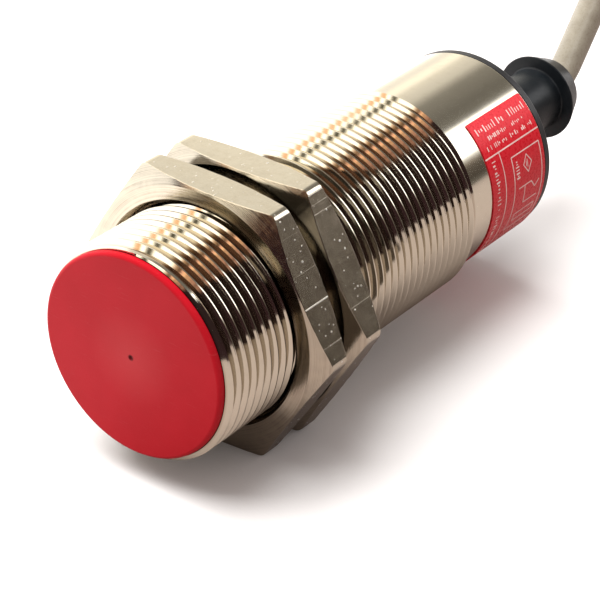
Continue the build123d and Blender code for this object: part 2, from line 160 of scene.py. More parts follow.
# ---------------------------------------------------------------- mesh building
def corner_normals(bm, sharp_deg):
    """Shading normals that keep big faces flat: each corner leans to the largest faces it blends with."""
    limit = math.cos(math.radians(sharp_deg))
    weights = {face: face.calc_area() ** 2 for face in bm.faces}
    normals = []
    for face in bm.faces:
        for vert in face.verts:
            blended = Vector()
            for near in vert.link_faces:
                if near.normal.dot(face.normal) > limit:
                    blended += near.normal * weights[near]
            normals.append(blended.normalized())
    return normals


def add_piece(name, verts, faces, material, node=None, body="sensor_body", sharp_deg=38.0):
    """Makes a closed mesh piece from millimetre vertices, smooth but for its sharp edges."""
    bm = bmesh.new()
    corners = [bm.verts.new(v) for v in verts]
    for face in faces:
        bm.faces.new([corners[i] for i in face])
    bmesh.ops.remove_doubles(bm, verts=bm.verts, dist=1e-5)
    bmesh.ops.recalc_face_normals(bm, faces=bm.faces)
    for edge in bm.edges:
        edge.smooth = edge.calc_face_angle(0.0) < math.radians(sharp_deg)
    for face in bm.faces:
        face.smooth = True
    normals = corner_normals(bm, sharp_deg)
    bmesh.ops.scale(bm, vec=(MM, MM, MM), verts=bm.verts)
    mesh = bpy.data.meshes.new(name)
    bm.to_mesh(mesh)
    bm.free()
    mesh.normals_split_custom_set(normals)
    mesh.materials.append(material)
    piece = bpy.data.objects.new(name, mesh)
    bpy.context.scene.collection.objects.link(piece)
    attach(piece, body)
    if node:
        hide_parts(node)
    return piece


def on_barrel(radius, angle, y):
    """The point at a radius and an angle round the barrel's axis, and y along it."""
    return (radius * math.sin(angle), y, radius * math.cos(angle))


def lathe(outline, around=160):
    """A closed outline of (radius, y) points, turned about the barrel's axis."""
    turns = [2 * math.pi * step / around for step in range(around)]
    verts = [on_barrel(r, turn, y) for turn in turns for r, y in outline]
    return verts, grid_faces(around, len(outline))


def grid_faces(columns, rows):
    """Quads over a grid of vertices that closes on itself both ways."""
    faces = []
    for column in range(columns):
        here, there = column * rows, (column + 1) % columns * rows
        for row in range(rows):
            after = (row + 1) % rows
            faces.append((here + row, there + row, there + after, here + after))
    return faces


def fillet(before, corner, after, rounding, steps):
    """The arc that rounds one corner of an outline."""
    back, on = (before - corner).normalized(), (after - corner).normalized()
    half = back.angle(on) / 2
    centre = corner + (back + on).normalized() * (rounding / math.sin(half))
    start = corner + back * (rounding / math.tan(half)) - centre
    end = corner + on * (rounding / math.tan(half)) - centre
    sweep = math.pi - 2 * half
    points = []
    for step in range(steps + 1):
        part = sweep * step / steps
        arm = (start * math.sin(sweep - part) + end * math.sin(part)) / math.sin(sweep)
        points.append(centre + arm)
    return points


def rounded(corners, steps=6):
    """A closed outline from (radius, y, rounding) corners, with an arc wherever the rounding isn't 0."""
    places = [Vector(corner[:2]) for corner in corners]
    outline = []
    for index, (_, _, rounding) in enumerate(corners):
        before, after = places[index - 1], places[(index + 1) % len(places)]
        if rounding:
            outline += fillet(before, places[index], after, rounding, steps)
        else:
            outline.append(places[index])
    return outline


def hermite(start, start_slope, end, end_slope, count):
    """Points on a cubic from start to end, with the start left out."""
    points = []
    for step in range(1, count + 1):
        t = step / count
        a = 2 * t**3 - 3 * t**2 + 1
        b = t**3 - 2 * t**2 + t
        c = -2 * t**3 + 3 * t**2
        d = t**3 - t**2
        points.append(start * a + start_slope * b + end * c + end_slope * d)
    return points


def path_frames(path):
    """At each point of a path, two directions across it that don't twist along the way."""
    across = Vector((1, 0, 0))
    frames = []
    for index, point in enumerate(path):
        along = (path[min(index + 1, len(path) - 1)] - path[max(index - 1, 0)]).normalized()
        across = (across - along * across.dot(along)).normalized()
        frames.append((across.copy(), along.cross(across)))
    return frames


def tube(path, radius, around=24, bore=0.0, edge=0.1):
    """A round tube along a path, with its end edges rounded: solid, or hollow if it has a bore."""
    frames = path_frames(path)
    last = len(path) - 1
    rings = [(0, radius - edge)] + [(index, radius) for index in range(1, last)] + [(last, radius - edge)]
    rings += [(last, bore)] + [(index, bore) for index in range(last - 1, 0, -1)] + [(0, bore)]
    if not bore:
        rings = rings[: last + 1]
        rings = [(0, 0.0)] + rings + [(last, 0.0)]
    verts = []
    for index, r in rings:
        right, up = frames[index]
        for step in range(around):
            turn = 2 * math.pi * step / around
            verts.append(path[index] + right * (r * math.cos(turn)) + up * (r * math.sin(turn)))
    return verts, grid_faces(len(rings), around)


# ---------------------------------------------------------------- materials
class Shader:
    """A material's nodes. Its places are the part's own coordinates, in millimetres."""

    def __init__(self, name):
        self.material = bpy.data.materials.new(name)
        self.material.use_nodes = True
        self.tree = self.material.node_tree
        self.surface = self.tree.nodes["Principled BSDF"]
        self.coordinates = self.node("ShaderNodeTexCoord").outputs
        scaled = self.node("ShaderNodeVectorMath", operation="SCALE")
        self.feed(scaled.inputs[0], self.coordinates["Object"])
        scaled.inputs["Scale"].default_value = 1 / MM
        self.place = scaled.outputs[0]
        self.x, self.y, self.z = self.split(self.place)

    def node(self, kind, **settings):
        made = self.tree.nodes.new(kind)
        for key, value in settings.items():
            setattr(made, key, value)
        return made

    def feed(self, socket, value):
        if isinstance(value, bpy.types.NodeSocket):
            self.tree.links.new(value, socket)
        else:
            socket.default_value = value

    def split(self, vector):
        made = self.node("ShaderNodeSeparateXYZ")
        self.feed(made.inputs[0], vector)
        return made.outputs[:3]

    def combine(self, x, y, z):
        made = self.node("ShaderNodeCombineXYZ")
        for socket, value in zip(made.inputs, (x, y, z)):
            self.feed(socket, value)
        return made.outputs[0]

    def math(self, operation, *values):
        made = self.node("ShaderNodeMath", operation=operation)
        for socket, value in zip(made.inputs, values):
            self.feed(socket, value)
        return made.outputs[0]

    def radius(self):
        """The distance from the barrel's axis."""
        across, up = self.math("MULTIPLY", self.x, self.x), self.math("MULTIPLY", self.z, self.z)
        return self.math("SQRT", self.math("ADD", across, up))

    def angle(self):
        """The angle round the barrel's axis, in radians."""
        return self.math("ARCTAN2", self.x, self.z)

    def stretched(self, x, y, z):
        """The part's coordinates, scaled along each axis."""
        scaled = [self.math("MULTIPLY", value, by) for value, by in ((self.x, x), (self.y, y), (self.z, z))]
        return self.combine(*scaled)

    def noise(self, vector, scale=1.0, detail=3.0, rough=0.55):
        made = self.node("ShaderNodeTexNoise")
        self.feed(made.inputs["Vector"], vector)
        self.feed(made.inputs["Scale"], scale)
        self.feed(made.inputs["Detail"], detail)
        self.feed(made.inputs["Roughness"], rough)
        return made.outputs[0]

    def specks(self, vector, scale, size):
        """1 inside small scattered spots of uneven size and outline, 0 elsewhere."""
        made = self.node("ShaderNodeTexVoronoi")
        self.feed(made.inputs["Vector"], vector)
        self.feed(made.inputs["Scale"], scale)
        chance = self.split(made.outputs["Color"])[0]
        ragged = self.math("MULTIPLY", self.noise(vector, scale * 4.0), 0.24)
        distance = self.math("ADD", made.outputs["Distance"], self.math("SUBTRACT", ragged, 0.12))
        return self.span(self.math("DIVIDE", distance, self.math("ADD", chance, 0.25)), size, size * 0.6)

    def span(self, value, low, high, to_low=0.0, to_high=1.0):
        """value, carried from low..high to to_low..to_high and held there beyond the ends."""
        made = self.node("ShaderNodeMapRange")
        for socket, part in zip(made.inputs, (value, low, high, to_low, to_high)):
            self.feed(socket, part)
        return made.outputs[0]

    def mix(self, share, first, second):
        made = self.node("ShaderNodeMix", data_type="RGBA")
        self.feed(made.inputs[0], share)
        self.feed(made.inputs[6], colour(first))
        self.feed(made.inputs[7], colour(second))
        return made.outputs[2]

    def blend(self, share, first, second):
        """first, turning into second as share goes from 0 to 1."""
        rest = self.math("SUBTRACT", 1.0, share)
        return self.math("ADD", self.math("MULTIPLY", first, rest), self.math("MULTIPLY", second, share))

    def painted_gap_shade(self, tint, share):
        """Painted shade in narrow gaps: the tint is darker where a mirror image is mirrored once more."""
        depth = self.node("ShaderNodeLightPath").outputs["Ray Depth"]
        dark = self.mix(share, tint, (0.0, 0.0, 0.0))
        return self.mix(self.span(depth, 0.0, 1.0), tint, dark)

    def bump(self, height, depth_mm):
        """A normal that follows a height of 0 to 1, which stands for depth_mm."""
        made = self.node("ShaderNodeBump")
        self.feed(made.inputs["Height"], height)
        made.inputs["Distance"].default_value = depth_mm * MM
        made.inputs["Strength"].default_value = 1.0
        return made.outputs[0]

    def finish(self, **inputs):
        """Feeds the surface's inputs, named with underscores for spaces, and gives the material."""
        for name, value in inputs.items():
            self.feed(self.surface.inputs[name.replace("_", " ")], colour(value))
        return self.material


def colour(value):
    """A three-number colour gets its alpha; anything else is passed on."""
    if isinstance(value, tuple) and len(value) == 3:
        return (*value, 1.0)
    return value


NICKEL = (0.80, 0.73, 0.60)
NICKEL_WORN = (0.68, 0.60, 0.47)
NICKEL_GROOVE_SHADE = (0.50, 0.39, 0.28)
NICKEL_TURNED = (0.62, 0.55, 0.44)


def plated_barrel():
    """Bright nickel over a turned barrel: fine lines round it, faint smudges, and thread roots painted
    darker as shade in the grooves.
    """
    s = Shader("nickel_plated_barrel")
    radius = s.radius()
    round_it, along_it = s.math("MULTIPLY", s.angle(), 0.5), s.math("MULTIPLY", s.y, 11.0)
    turning = s.noise(s.combine(round_it, along_it, 0.0), 1.0, 2)
    smudge = s.noise(s.place, 0.16, detail=3)
    blotch = s.noise(s.place, 0.9, detail=4)
    # the thread's roots are painted darker, as shade in the grooves; crests and the smooth section keep the
    # plain nickel
    crest = s.span(radius, THREAD_R - THREAD_DEPTH, THREAD_R - 0.6 * THREAD_DEPTH)
    smooth = s.span(s.y, THREAD_END_Y, THREAD_END_Y + 0.6)
    bright = s.math("MAXIMUM", crest, smooth)
    tint = s.mix(bright, NICKEL_GROOVE_SHADE, NICKEL)
    tint = s.mix(s.span(blotch, 0.55, 0.75, 0.0, 0.3), tint, NICKEL_WORN)
    # painted shade where a reflection is mirrored once more
    tint = s.painted_gap_shade(tint, 0.35)
    rough = s.math("ADD", s.span(smudge, 0.35, 0.75, 0.05, 0.11), s.math("MULTIPLY", smooth, 0.05))
    normal = s.bump(turning, 0.0022)
    return s.finish(Base_Color=tint, Metallic=1.0, Roughness=rough, Normal=normal)


def plated_nut(name, draw_lines):
    """Nickel over drawn hexagon bar: turned faces with rings; flats with specks and a few draw lines,
    painted lighter partly as a highlight, and darker towards the bottom as painted shade.
    """
    s = Shader(name)
    facing = s.math("ABSOLUTE", s.split(s.coordinates["Normal"])[1])
    turned = s.span(facing, 0.2, 0.4)
    outwards, round_it = s.math("MULTIPLY", s.radius(), 9.0), s.math("MULTIPLY", s.angle(), 0.8)
    rings = s.noise(s.combine(outwards, round_it, 0.0), 1.0, 2)
    grain = s.noise(s.stretched(3.2, 0.16, 3.2), 1.0, detail=4)
    mottle = s.noise(s.place, 0.8, detail=4)
    patchy = s.span(s.noise(s.place, 0.45, detail=2), 0.38, 0.56)
    specks = s.math("MULTIPLY", s.specks(s.stretched(1.3, 0.9, 1.3), 1.15, 0.21), patchy)
    across = s.math("SUBTRACT", s.math("MULTIPLY", s.x, 0.5), s.math("MULTIPLY", s.z, math.sqrt(0.75)))
    marks = specks
    for place, width, strength in draw_lines:
        away = s.math("ABSOLUTE", s.math("SUBTRACT", across, place))
        marks = s.math("MAXIMUM", marks, s.span(away, width / 2, width / 4, 0.0, strength))
    fading = s.span(s.noise(s.stretched(0.5, 0.4, 0.5), 1.0), 0.35, 0.55, 0.5, 1.0)
    marks = s.math("MULTIPLY", s.math("MULTIPLY", marks, fading), s.math("SUBTRACT", 1.0, turned))
    relief = s.blend(turned, s.math("MULTIPLY", grain, 0.7), rings)
    relief = s.math("ADD", relief, s.math("MULTIPLY", marks, 2.0))
    # the flats are painted darker towards the bottom, as shade
    flats = s.mix(s.span(s.z, -6.0, 14.0, 0.45, 0.0), NICKEL, (0.25, 0.20, 0.15))
    arcs = s.mix(s.span(rings, 0.45, 0.65, 0.0, 0.55), NICKEL_TURNED, (0.28, 0.23, 0.18))
    tint = s.mix(s.span(mottle, 0.4, 0.7, 0.0, 0.5), s.mix(turned, flats, arcs), NICKEL_WORN)
    # specks and draw lines are painted lighter: real marks, with a painted highlight where they catch the
    # light; then painted shade where mirrored once more
    tint = s.painted_gap_shade(s.mix(marks, tint, (0.95, 0.93, 0.88)), 0.8)
    rough = s.blend(turned, s.span(mottle, 0.3, 0.7, 0.13, 0.22), s.span(mottle, 0.3, 0.7, 0.10, 0.16))
    rough = s.math("ADD", rough, s.math("MULTIPLY", marks, 0.25))
    normal = s.bump(relief, 0.008)
    return s.finish(Base_Color=tint, Metallic=1.0, Roughness=rough, Normal=normal)


def red_cap():
    """Matt red plastic with a fine moulded grain and faint scuffs."""
    s = Shader("red_cap_plastic")
    cloud = s.noise(s.place, 0.12, detail=3)
    grain = s.noise(s.place, 5.0, detail=4)
    scuff = s.span(s.noise(s.stretched(0.35, 1.0, 4.5), 1.0, detail=4), 0.62, 0.72)
    tint = s.mix(s.span(cloud, 0.3, 0.7), (0.40, 0.003, 0.010), (0.45, 0.005, 0.014))
    tint = s.mix(s.math("MULTIPLY", scuff, 0.10), tint, (0.60, 0.16, 0.16))
    from_gate = s.radius()
    tint = s.mix(s.span(from_gate, 7.0, 0.8, 0.0, 0.22), tint, (0.62, 0.10, 0.10))
    tint = s.mix(s.span(from_gate, 0.50, 0.30), tint, (0.10, 0.004, 0.006))
    rough = s.span(grain, 0.3, 0.7, 0.40, 0.56)
    normal = s.bump(grain, 0.010)
    return s.finish(Base_Color=tint, Roughness=rough, Normal=normal, Specular_IOR_Level=0.16)


def label_red():
    """Printed satin film: even red ink with a slight mottle, on a backing that is never quite flat."""
    s = Shader("red_label_film")
    ink = s.noise(s.place, 2.2, detail=5)
    wave = s.noise(s.place, 0.25, detail=2)
    tint = s.mix(s.span(ink, 0.35, 0.65), (0.56, 0.010, 0.020), (0.63, 0.015, 0.027))
    rough = s.span(ink, 0.3, 0.7, 0.24, 0.32)
    return s.finish(Base_Color=tint, Roughness=rough, Normal=s.bump(wave, 0.03), Specular_IOR_Level=0.22)


def moulded(name, dark, light, roughness, grain_scale=3.0, grain_mm=0.01, shine=0.5):
    """A plastic or rubber: two close colours in a soft mottle, with a fine grain."""
    s = Shader(name)
    mottle = s.noise(s.place, 0.5, detail=4)
    grain = s.noise(s.place, grain_scale, detail=4)
    tint = s.mix(s.span(mottle, 0.35, 0.65), dark, light)
    rough = s.span(grain, 0.3, 0.7, roughness - 0.05, roughness + 0.08)
    normal = s.bump(grain, grain_mm)
    return s.finish(Base_Color=tint, Roughness=rough, Normal=normal, Specular_IOR_Level=shine)


def small_metal(name, light, dark, roughness):
    """A small metal part: slightly tarnished, with fine lines."""
    s = Shader(name)
    tarnish = s.noise(s.place, 1.1, detail=5)
    lines = s.noise(s.stretched(4.0, 1.0, 4.0), 1.5, detail=3)
    tint = s.mix(s.span(tarnish, 0.4, 0.7), light, dark)
    rough = s.span(tarnish, 0.3, 0.7, roughness, roughness + 0.18)
    return s.finish(Base_Color=tint, Metallic=1.0, Roughness=rough, Normal=s.bump(lines, 0.006))


def wound_wire():
    """Enamelled copper wire in close turns round the barrel's axis."""
    s = Shader("coil_copper")
    turns = s.math("SINE", s.math("MULTIPLY", s.math("ADD", s.y, s.radius()), 2 * math.pi / 0.25))
    age = s.noise(s.place, 0.8)
    tint = s.mix(age, (0.45, 0.15, 0.06), (0.70, 0.28, 0.12))
    return s.finish(Base_Color=tint, Metallic=1.0, Roughness=0.3, Normal=s.bump(turns, 0.04))


def board_green():
    """Green solder mask over a glass weave, with paler tracks showing through."""
    s = Shader("green_board")
    warp, weft = (s.math("SINE", s.math("MULTIPLY", place, 9.0)) for place in (s.x, s.y))
    weave = s.math("MULTIPLY", warp, weft)
    tracks = s.span(s.math("ABSOLUTE", s.math("SINE", s.math("MULTIPLY", s.x, 2.1))), 0.86, 0.92)
    tint = s.mix(s.math("MULTIPLY", tracks, 0.5), (0.010, 0.085, 0.030), (0.060, 0.250, 0.070))
    height = s.math("ADD", tracks, s.math("MULTIPLY", weave, 0.15))
    return s.finish(Base_Color=tint, Roughness=0.3, Normal=s.bump(height, 0.02))


# each draw line is its place across the upper right flat, its width and its strength
FRONT_DRAW_LINES = ((-6.9, 0.10, 0.12), (-2.1, 0.10, 0.2), (2.17, 0.2, 1.0), (7.65, 0.12, 0.3))
REAR_DRAW_LINES = ((-9.85, 0.14, 0.35), (-8.6, 0.10, 0.2), (-7.4, 0.10, 0.2), (5.2, 0.10, 0.2))
front_nut_metal = plated_nut("nickel_front_nut", FRONT_DRAW_LINES)
rear_nut_metal = plated_nut("nickel_rear_nut", REAR_DRAW_LINES)
black_pvc = moulded("black_wire_pvc", (0.010, 0.010, 0.011), (0.018, 0.018, 0.019), 0.35)
white_ink = moulded("white_print_ink", (0.72, 0.50, 0.47), (0.84, 0.64, 0.60), 0.40, 6.0)
boot_rubber = moulded(
    "black_boot_rubber", (0.006, 0.008, 0.010), (0.012, 0.014, 0.016), 0.36, 4.0, 0.012, shine=0.3
)
plug_plastic = moulded("black_plug_plastic", (0.012, 0.012, 0.013), (0.020, 0.020, 0.022), 0.42, 5.0)
cable_pvc = moulded("grey_cable_pvc", (0.27, 0.24, 0.185), (0.33, 0.30, 0.235), 0.28, 2.5, 0.015)
copper = small_metal("bare_copper", (0.85, 0.42, 0.24), (0.60, 0.24, 0.12), 0.2)
tinned = small_metal("tinned_brass", (0.72, 0.70, 0.66), (0.52, 0.49, 0.43), 0.3)
epoxy = moulded("black_epoxy", (0.014, 0.014, 0.015), (0.028, 0.028, 0.030), 0.5, 8.0)
nylon = moulded("natural_nylon", (0.66, 0.62, 0.50), (0.74, 0.71, 0.60), 0.4)

CAD_LOOKS = {
    "plug_o_ring": moulded("o_ring_rubber", (0.010, 0.010, 0.010), (0.020, 0.020, 0.020), 0.6, 6.0),
    "crimp_ferrule": tinned,
    "ferrite_core": moulded("ferrite", (0.018, 0.018, 0.020), (0.035, 0.035, 0.038), 0.55, 10.0, 0.02),
    "coil_bobbin": nylon,
    "coil_winding": wound_wire(),
    "shield_ring": tinned,
    "coil_leads": copper,
    "core_carrier": nylon,
    "circuit_board": board_green(),
    "oscillator_chip": epoxy,
    "output_transistor": epoxy,
    "tantalum_capacitor": moulded("yellow_epoxy", (0.50, 0.27, 0.02), (0.62, 0.36, 0.04), 0.4),
    "protection_diode": epoxy,
    "chip_resistors": epoxy,
    "chip_capacitors": moulded("tan_ceramic", (0.33, 0.20, 0.10), (0.42, 0.27, 0.15), 0.45),
    "solder_joints": small_metal("solder", (0.75, 0.75, 0.74), (0.55, 0.55, 0.56), 0.18),
    "insulating_sleeve": moulded("amber_film", (0.62, 0.44, 0.16), (0.70, 0.52, 0.22), 0.25),
    "potting_seal": moulded("potting_resin", (0.014, 0.012, 0.010), (0.028, 0.024, 0.020), 0.35, 1.5, 0.03),
}
for node_name, look in CAD_LOOKS.items():
    for material_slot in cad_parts[node_name].material_slots:
        material_slot.material = look


# ---------------------------------------------------------------- barrel
def thread_profile():
    """One pitch of a 60 degree thread as (radius, y) points, from the start of a crest to the next one."""
    run = THREAD_DEPTH * math.tan(math.radians(30))
    root_r = THREAD_R - THREAD_DEPTH
    crest, root, next_crest = CREST_WIDTH, CREST_WIDTH + run, THREAD_PITCH
    places = [
        Vector((root_r, -run)),
        Vector((THREAD_R, 0)),
        Vector((THREAD_R, crest)),
        Vector((root_r, root)),
        Vector((root_r, next_crest - run)),
        Vector((THREAD_R, next_crest)),
    ]
    points = []
    for index, rounding in ((1, CREST_ROUND), (2, CREST_ROUND), (3, ROOT_ROUND), (4, ROOT_ROUND)):
        points += fillet(places[index - 1], places[index], places[index + 1], rounding, 2)
    return points


def barrel_mesh(around=190):
    """The barrel with a right-handed thread: each column of vertices is set on by its share of a pitch."""
    front, rear = barrel_low.y, barrel_high.y
    thread_rear = THREAD_END_Y + (THREAD_R - SMOOTH_R) / 2
    profile = thread_profile()
    per_turn = len(profile)
    turns = math.ceil((thread_rear - front) / THREAD_PITCH) + 2
    rear_edge, bore_edge = (SMOOTH_R, rear, 0.25), (BORE_R, rear, 0.1)
    rest = rounded([rear_edge, bore_edge, (BORE_R, front, 0.0), (THREAD_R - LEAD_IN, front, 0.0)], 3)[:-1]
    rest.insert(0, (SMOOTH_R, label_low.y))
    thread_rows = turns * per_turn + 1
    rows = thread_rows + len(rest)
    verts = []
    for column in range(around):
        angle = 2 * math.pi * column / around
        for row in range(thread_rows):
            turn, sample = divmod(row, per_turn)
            r, y = profile[sample]
            y += front + THREAD_START + (turn - 1 + column / around) * THREAD_PITCH
            y = min(max(y, front), thread_rear)
            lead_in_r = THREAD_R - LEAD_IN + (y - front)
            lead_out_r = SMOOTH_R + 2 * (thread_rear - y)
            verts.append(on_barrel(min(r, lead_in_r, lead_out_r), angle, y))
        verts += [on_barrel(r, angle, y) for r, y in rest]
    faces = []
    for column in range(around):
        shift = per_turn if column == around - 1 else 0
        here, there = column * rows, (column + 1) % around * rows
        for row in range(rows):
            after = (row + 1) % rows
            over, over_after = row, after
            if row < thread_rows:
                over = min(row + shift, thread_rows - 1)
            if after < thread_rows and after:
                over_after = min(after + shift, thread_rows - 1)
            quad = [here + row, there + over, there + over_after, here + after]
            if over != over_after:
                faces.append(quad)
            else:
                faces.append(quad[:2] + quad[3:])
    return verts, faces


add_piece("threaded_barrel_shell", *barrel_mesh(), plated_barrel(), "threaded_barrel", sharp_deg=50)

# ---------------------------------------------------------------- sensing cap
skirt_r = BORE_R - GAP
cap_outline = rounded(
    [
        (0.0, GATE_DEPTH, 0.0),
        (0.16, 0.14, 0.0),
        (GATE_R, 0.0, 0.05),
        (cap_high.x, 0.0, CAP_RIM_ROUND),
        (cap_high.x, barrel_low.y, 0.0),
        (skirt_r, barrel_low.y, 0.0),
        (skirt_r, cap_high.y, 0.2),
        (skirt_r - CAP_WALL, cap_high.y, 0.2),
        (skirt_r - CAP_WALL, CAP_FACE_THICKNESS, 0.3),
        (0.0, CAP_FACE_THICKNESS, 0.0),
    ]
)
# rings that break up the wide flat face
for ring_r in (4.0, 8.0, 12.0):
    after = next(index for index, point in enumerate(cap_outline) if point[0] > ring_r)
    cap_outline.insert(after, Vector((ring_r, 0.0)))
add_piece("sensing_cap_shell", *lathe(cap_outline, 200), red_cap(), "sensing_cap")


# ---------------------------------------------------------------- nuts
def nut_section(flat_r):
    """Half of the nut's outline where its side stands at flat_r, as (radius, depth from its face) points."""
    inner = flat_r - NUT_EDGE
    drop = (inner - NUT_FACE_R) * NUT_CHAMFER_SLOPE
    return [
        (NUT_BORE_R, NUT_COUNTERSINK),
        (NUT_BORE_R + NUT_COUNTERSINK - 0.06, 0.06),
        (NUT_BORE_R + NUT_COUNTERSINK + 0.04, 0.0),
        (NUT_RING_R, 0.0),
        (NUT_FACE_R, 0.0),
        (inner, drop),
        (flat_r - NUT_EDGE * 0.3, drop + NUT_EDGE * 0.45),
        (flat_r, drop + NUT_EDGE * 1.2),
        (flat_r, 1.5),
        (flat_r, 2.2),
    ]


def hexagon_side(steps=25, corner_steps=8):
    """One flat and its rounded corner, as (angle from the flat's middle, radius) points."""
    half = NUT_ACROSS_FLATS / 2
    flat_half = (half - NUT_CORNER_ROUND) * math.tan(math.radians(30))
    places = [Vector((-flat_half + 2 * flat_half * step / steps, half)) for step in range(steps + 1)]
    hub = Vector((flat_half, half - NUT_CORNER_ROUND))
    for step in range(1, corner_steps):
        turn = math.radians(60 * step / corner_steps)
        places.append(hub + Vector((math.sin(turn), math.cos(turn))) * NUT_CORNER_ROUND)
    return [(math.atan2(place.x, place.y), place.length) for place in places]


def nut_mesh(node, turn_deg):
    """A hexagon nut: its corners turned to a cone at both faces and rounded, its edges a little worn."""
    low, high = box_mm(node)
    worn = (5, 6, 7, 12, 13, 14)  # the section's points at the edges of the flats
    side = hexagon_side()
    verts = []
    for flat in range(6):
        for offset, flat_r in side:
            angle = math.radians(60 * flat + turn_deg) + offset
            front = nut_section(flat_r)
            section = [(r, low.y + inset) for r, inset in front]
            section += [(r, high.y - inset) for r, inset in reversed(front)]
            for index, (r, y) in enumerate(section):
                point = Vector(on_barrel(r, angle, y))
                if index in worn:
                    wear = noise.noise(point * 0.9) * 0.05 + min(noise.noise(point * 2.3) - 0.25, 0) * 0.04
                    point += Vector((math.sin(angle), 0, math.cos(angle))) * min(wear, 0.0)
                verts.append(point)
    return verts, grid_faces(6 * len(side), len(section))


for nut, turn_deg, metal in (
    ("front_nut", NUT_TURN_DEG, front_nut_metal),
    ("rear_nut", -NUT_TURN_DEG, rear_nut_metal),
):
    add_piece(f"{nut}_hex", *nut_mesh(nut, turn_deg), metal, nut, body=nut, sharp_deg=15)


# ---------------------------------------------------------------- label
LABEL_START_Y = label_low.y
LABEL_WIDTH = label_high.y - label_low.y
LABEL_LENGTH = math.radians(LABEL_SPAN_DEG) * LABEL_R


def on_label(run, across, height):
    """A point at run millimetres round the barrel from the label's first edge, and across from its front."""
    angle = math.radians(LABEL_FROM_DEG) + run / LABEL_R
    return on_barrel(LABEL_R + height, angle, LABEL_START_Y + across)


def label_mesh(across_steps=6):
    """The film: a band with rounded corners, as a closed sheet of its own thickness."""
    corner_r = LABEL_CORNER_R
    corner = [corner_r * (1 - math.cos(math.radians(15 * step))) for step in range(7)]
    runs = corner + [LABEL_LENGTH * step / 120 for step in range(2, 119)]
    runs += [LABEL_LENGTH - run for run in reversed(corner)]
    verts = []
    for run in runs:
        from_end = min(run, LABEL_LENGTH - run)
        inset = 0.0
        if from_end < corner_r:
            inset = corner_r - math.sqrt(corner_r**2 - (corner_r - from_end) ** 2)
        edge = [inset + (LABEL_WIDTH - 2 * inset) * step / across_steps for step in range(across_steps + 1)]
        verts += [on_label(run, across, 0.0) for across in edge]
        verts += [on_label(run, across, LABEL_THICKNESS) for across in reversed(edge)]
    rows = 2 * (across_steps + 1)
    faces = grid_faces(len(runs), rows)[: (len(runs) - 1) * rows]
    for start in (0, (len(runs) - 1) * rows):
        for step in range(across_steps):
            a, b = start + step, start + step + 1
            c, d = start + rows - 2 - step, start + rows - 1 - step
            faces.append((a, b, c, d))
    return verts, faces


add_piece("rating_label_film", *label_mesh(), label_red(), "rating_label")


class Print:
    """White marks on the label, as thin raised ribbons."""

    def __init__(self):
        self.verts, self.faces = [], []

    def line(self, start, end, width=0.22):
        """A ribbon between two (run, across) places on the label."""
        start, end = Vector(start), Vector(end)
        along = (end - start).normalized()
        side = Vector((-along.y, along.x)) * (width / 2)
        steps = max(1, math.ceil(abs(end.x - start.x) / 0.6))
        first = len(self.verts)
        for step in range(steps + 1):
            middle = start.lerp(end, step / steps)
            for offset, height in ((-1, INK_SUNK), (1, INK_SUNK), (1, INK_TOP), (-1, INK_TOP)):
                place = middle + side * offset
                self.verts.append(on_label(place.x, place.y, height))
        for step in range(steps):
            a = first + 4 * step
            for corner in range(4):
                on = (corner + 1) % 4
                self.faces.append((a + corner, a + on, a + 4 + on, a + 4 + corner))
        last = first + 4 * steps
        self.faces.append((first, first + 3, first + 2, first + 1))
        self.faces.append((last, last + 1, last + 2, last + 3))

    def outline(self, points, width=0.22):
        """Ribbons from each point to the next."""
        for start, end in zip(points, points[1:]):
            self.line(start, end, width)

    def ticks(self, start, end, height, pitch=0.42):
        """A row of upright ticks of uneven height and spacing, in place of a line of lettering."""
        start, end = Vector(start), Vector(end)
        along = (end - start).normalized()
        rise = Vector((-along.y, along.x)) * (height / 2)
        travelled, length = 0.0, (end - start).length
        while travelled < length:
            if random.random() > 0.16:
                foot, top = -1.0, random.choice((1.0, 1.0, 0.3))
                if random.random() < 0.25:
                    foot, top = -0.4, 0.4
                place = start + along * travelled
                self.line(place + rise * foot, place + rise * top, random.choice((0.13, 0.17, 0.24)))
            travelled += pitch * random.uniform(0.75, 1.25)


# places are (run, across) in millimetres: three rows along the first edge, then a frame and its contents
marks = Print()
marks.ticks((1.65, 1.0), (1.65, 12.6), 1.05, 0.55)
marks.ticks((3.15, 2.6), (3.15, 11.0), 0.6, 0.42)
marks.ticks((4.40, 1.4), (4.40, 12.4), 0.65, 0.42)
marks.line((5.5, 0.0), (5.5, 13.2), 0.2)
marks.line((5.5, 3.2), (49.0, 3.2), 0.17)
marks.ticks((6.3, 1.5), (22.5, 1.5), 0.85, 0.5)
marks.outline([(19.0, 5.4), (7.2, 5.4), (7.2, 12.35), (19.0, 12.35)], 0.17)
marks.line((19.0, 5.4), (19.0, 12.35), 0.17)
marks.ticks((8.2, 6.4), (10.6, 6.4), 0.8, 0.4)
# the general sign of a proximity switch: a diamond with two bars in it
marks.outline([(7.9, 8.9), (9.2, 7.9), (10.5, 8.9), (9.2, 9.9), (7.9, 8.9)], 0.15)
marks.line((8.6, 8.9), (9.8, 8.9), 0.13)
marks.line((8.8, 8.6), (9.6, 8.6), 0.13)
# a plain output diagram: a box, its switch and its wires
marks.outline([(12.2, 6.4), (12.2, 9.6), (13.4, 10.6), (12.6, 11.6)], 0.16)
marks.outline([(12.2, 8.0), (15.0, 8.0), (15.0, 11.4)], 0.16)
marks.outline([(16.4, 6.4), (16.4, 11.4), (17.6, 11.4), (17.6, 6.4), (16.4, 6.4)], 0.15)
for row in range(4):
    marks.ticks((23.0, 5.2 + 2.1 * row), (46.0, 5.2 + 2.1 * row), 0.75, 0.5)
marks.line((47.6, 4.4), (47.6, 12.2), 0.2)
printed = add_piece("rating_label_print", marks.verts, marks.faces, white_ink)

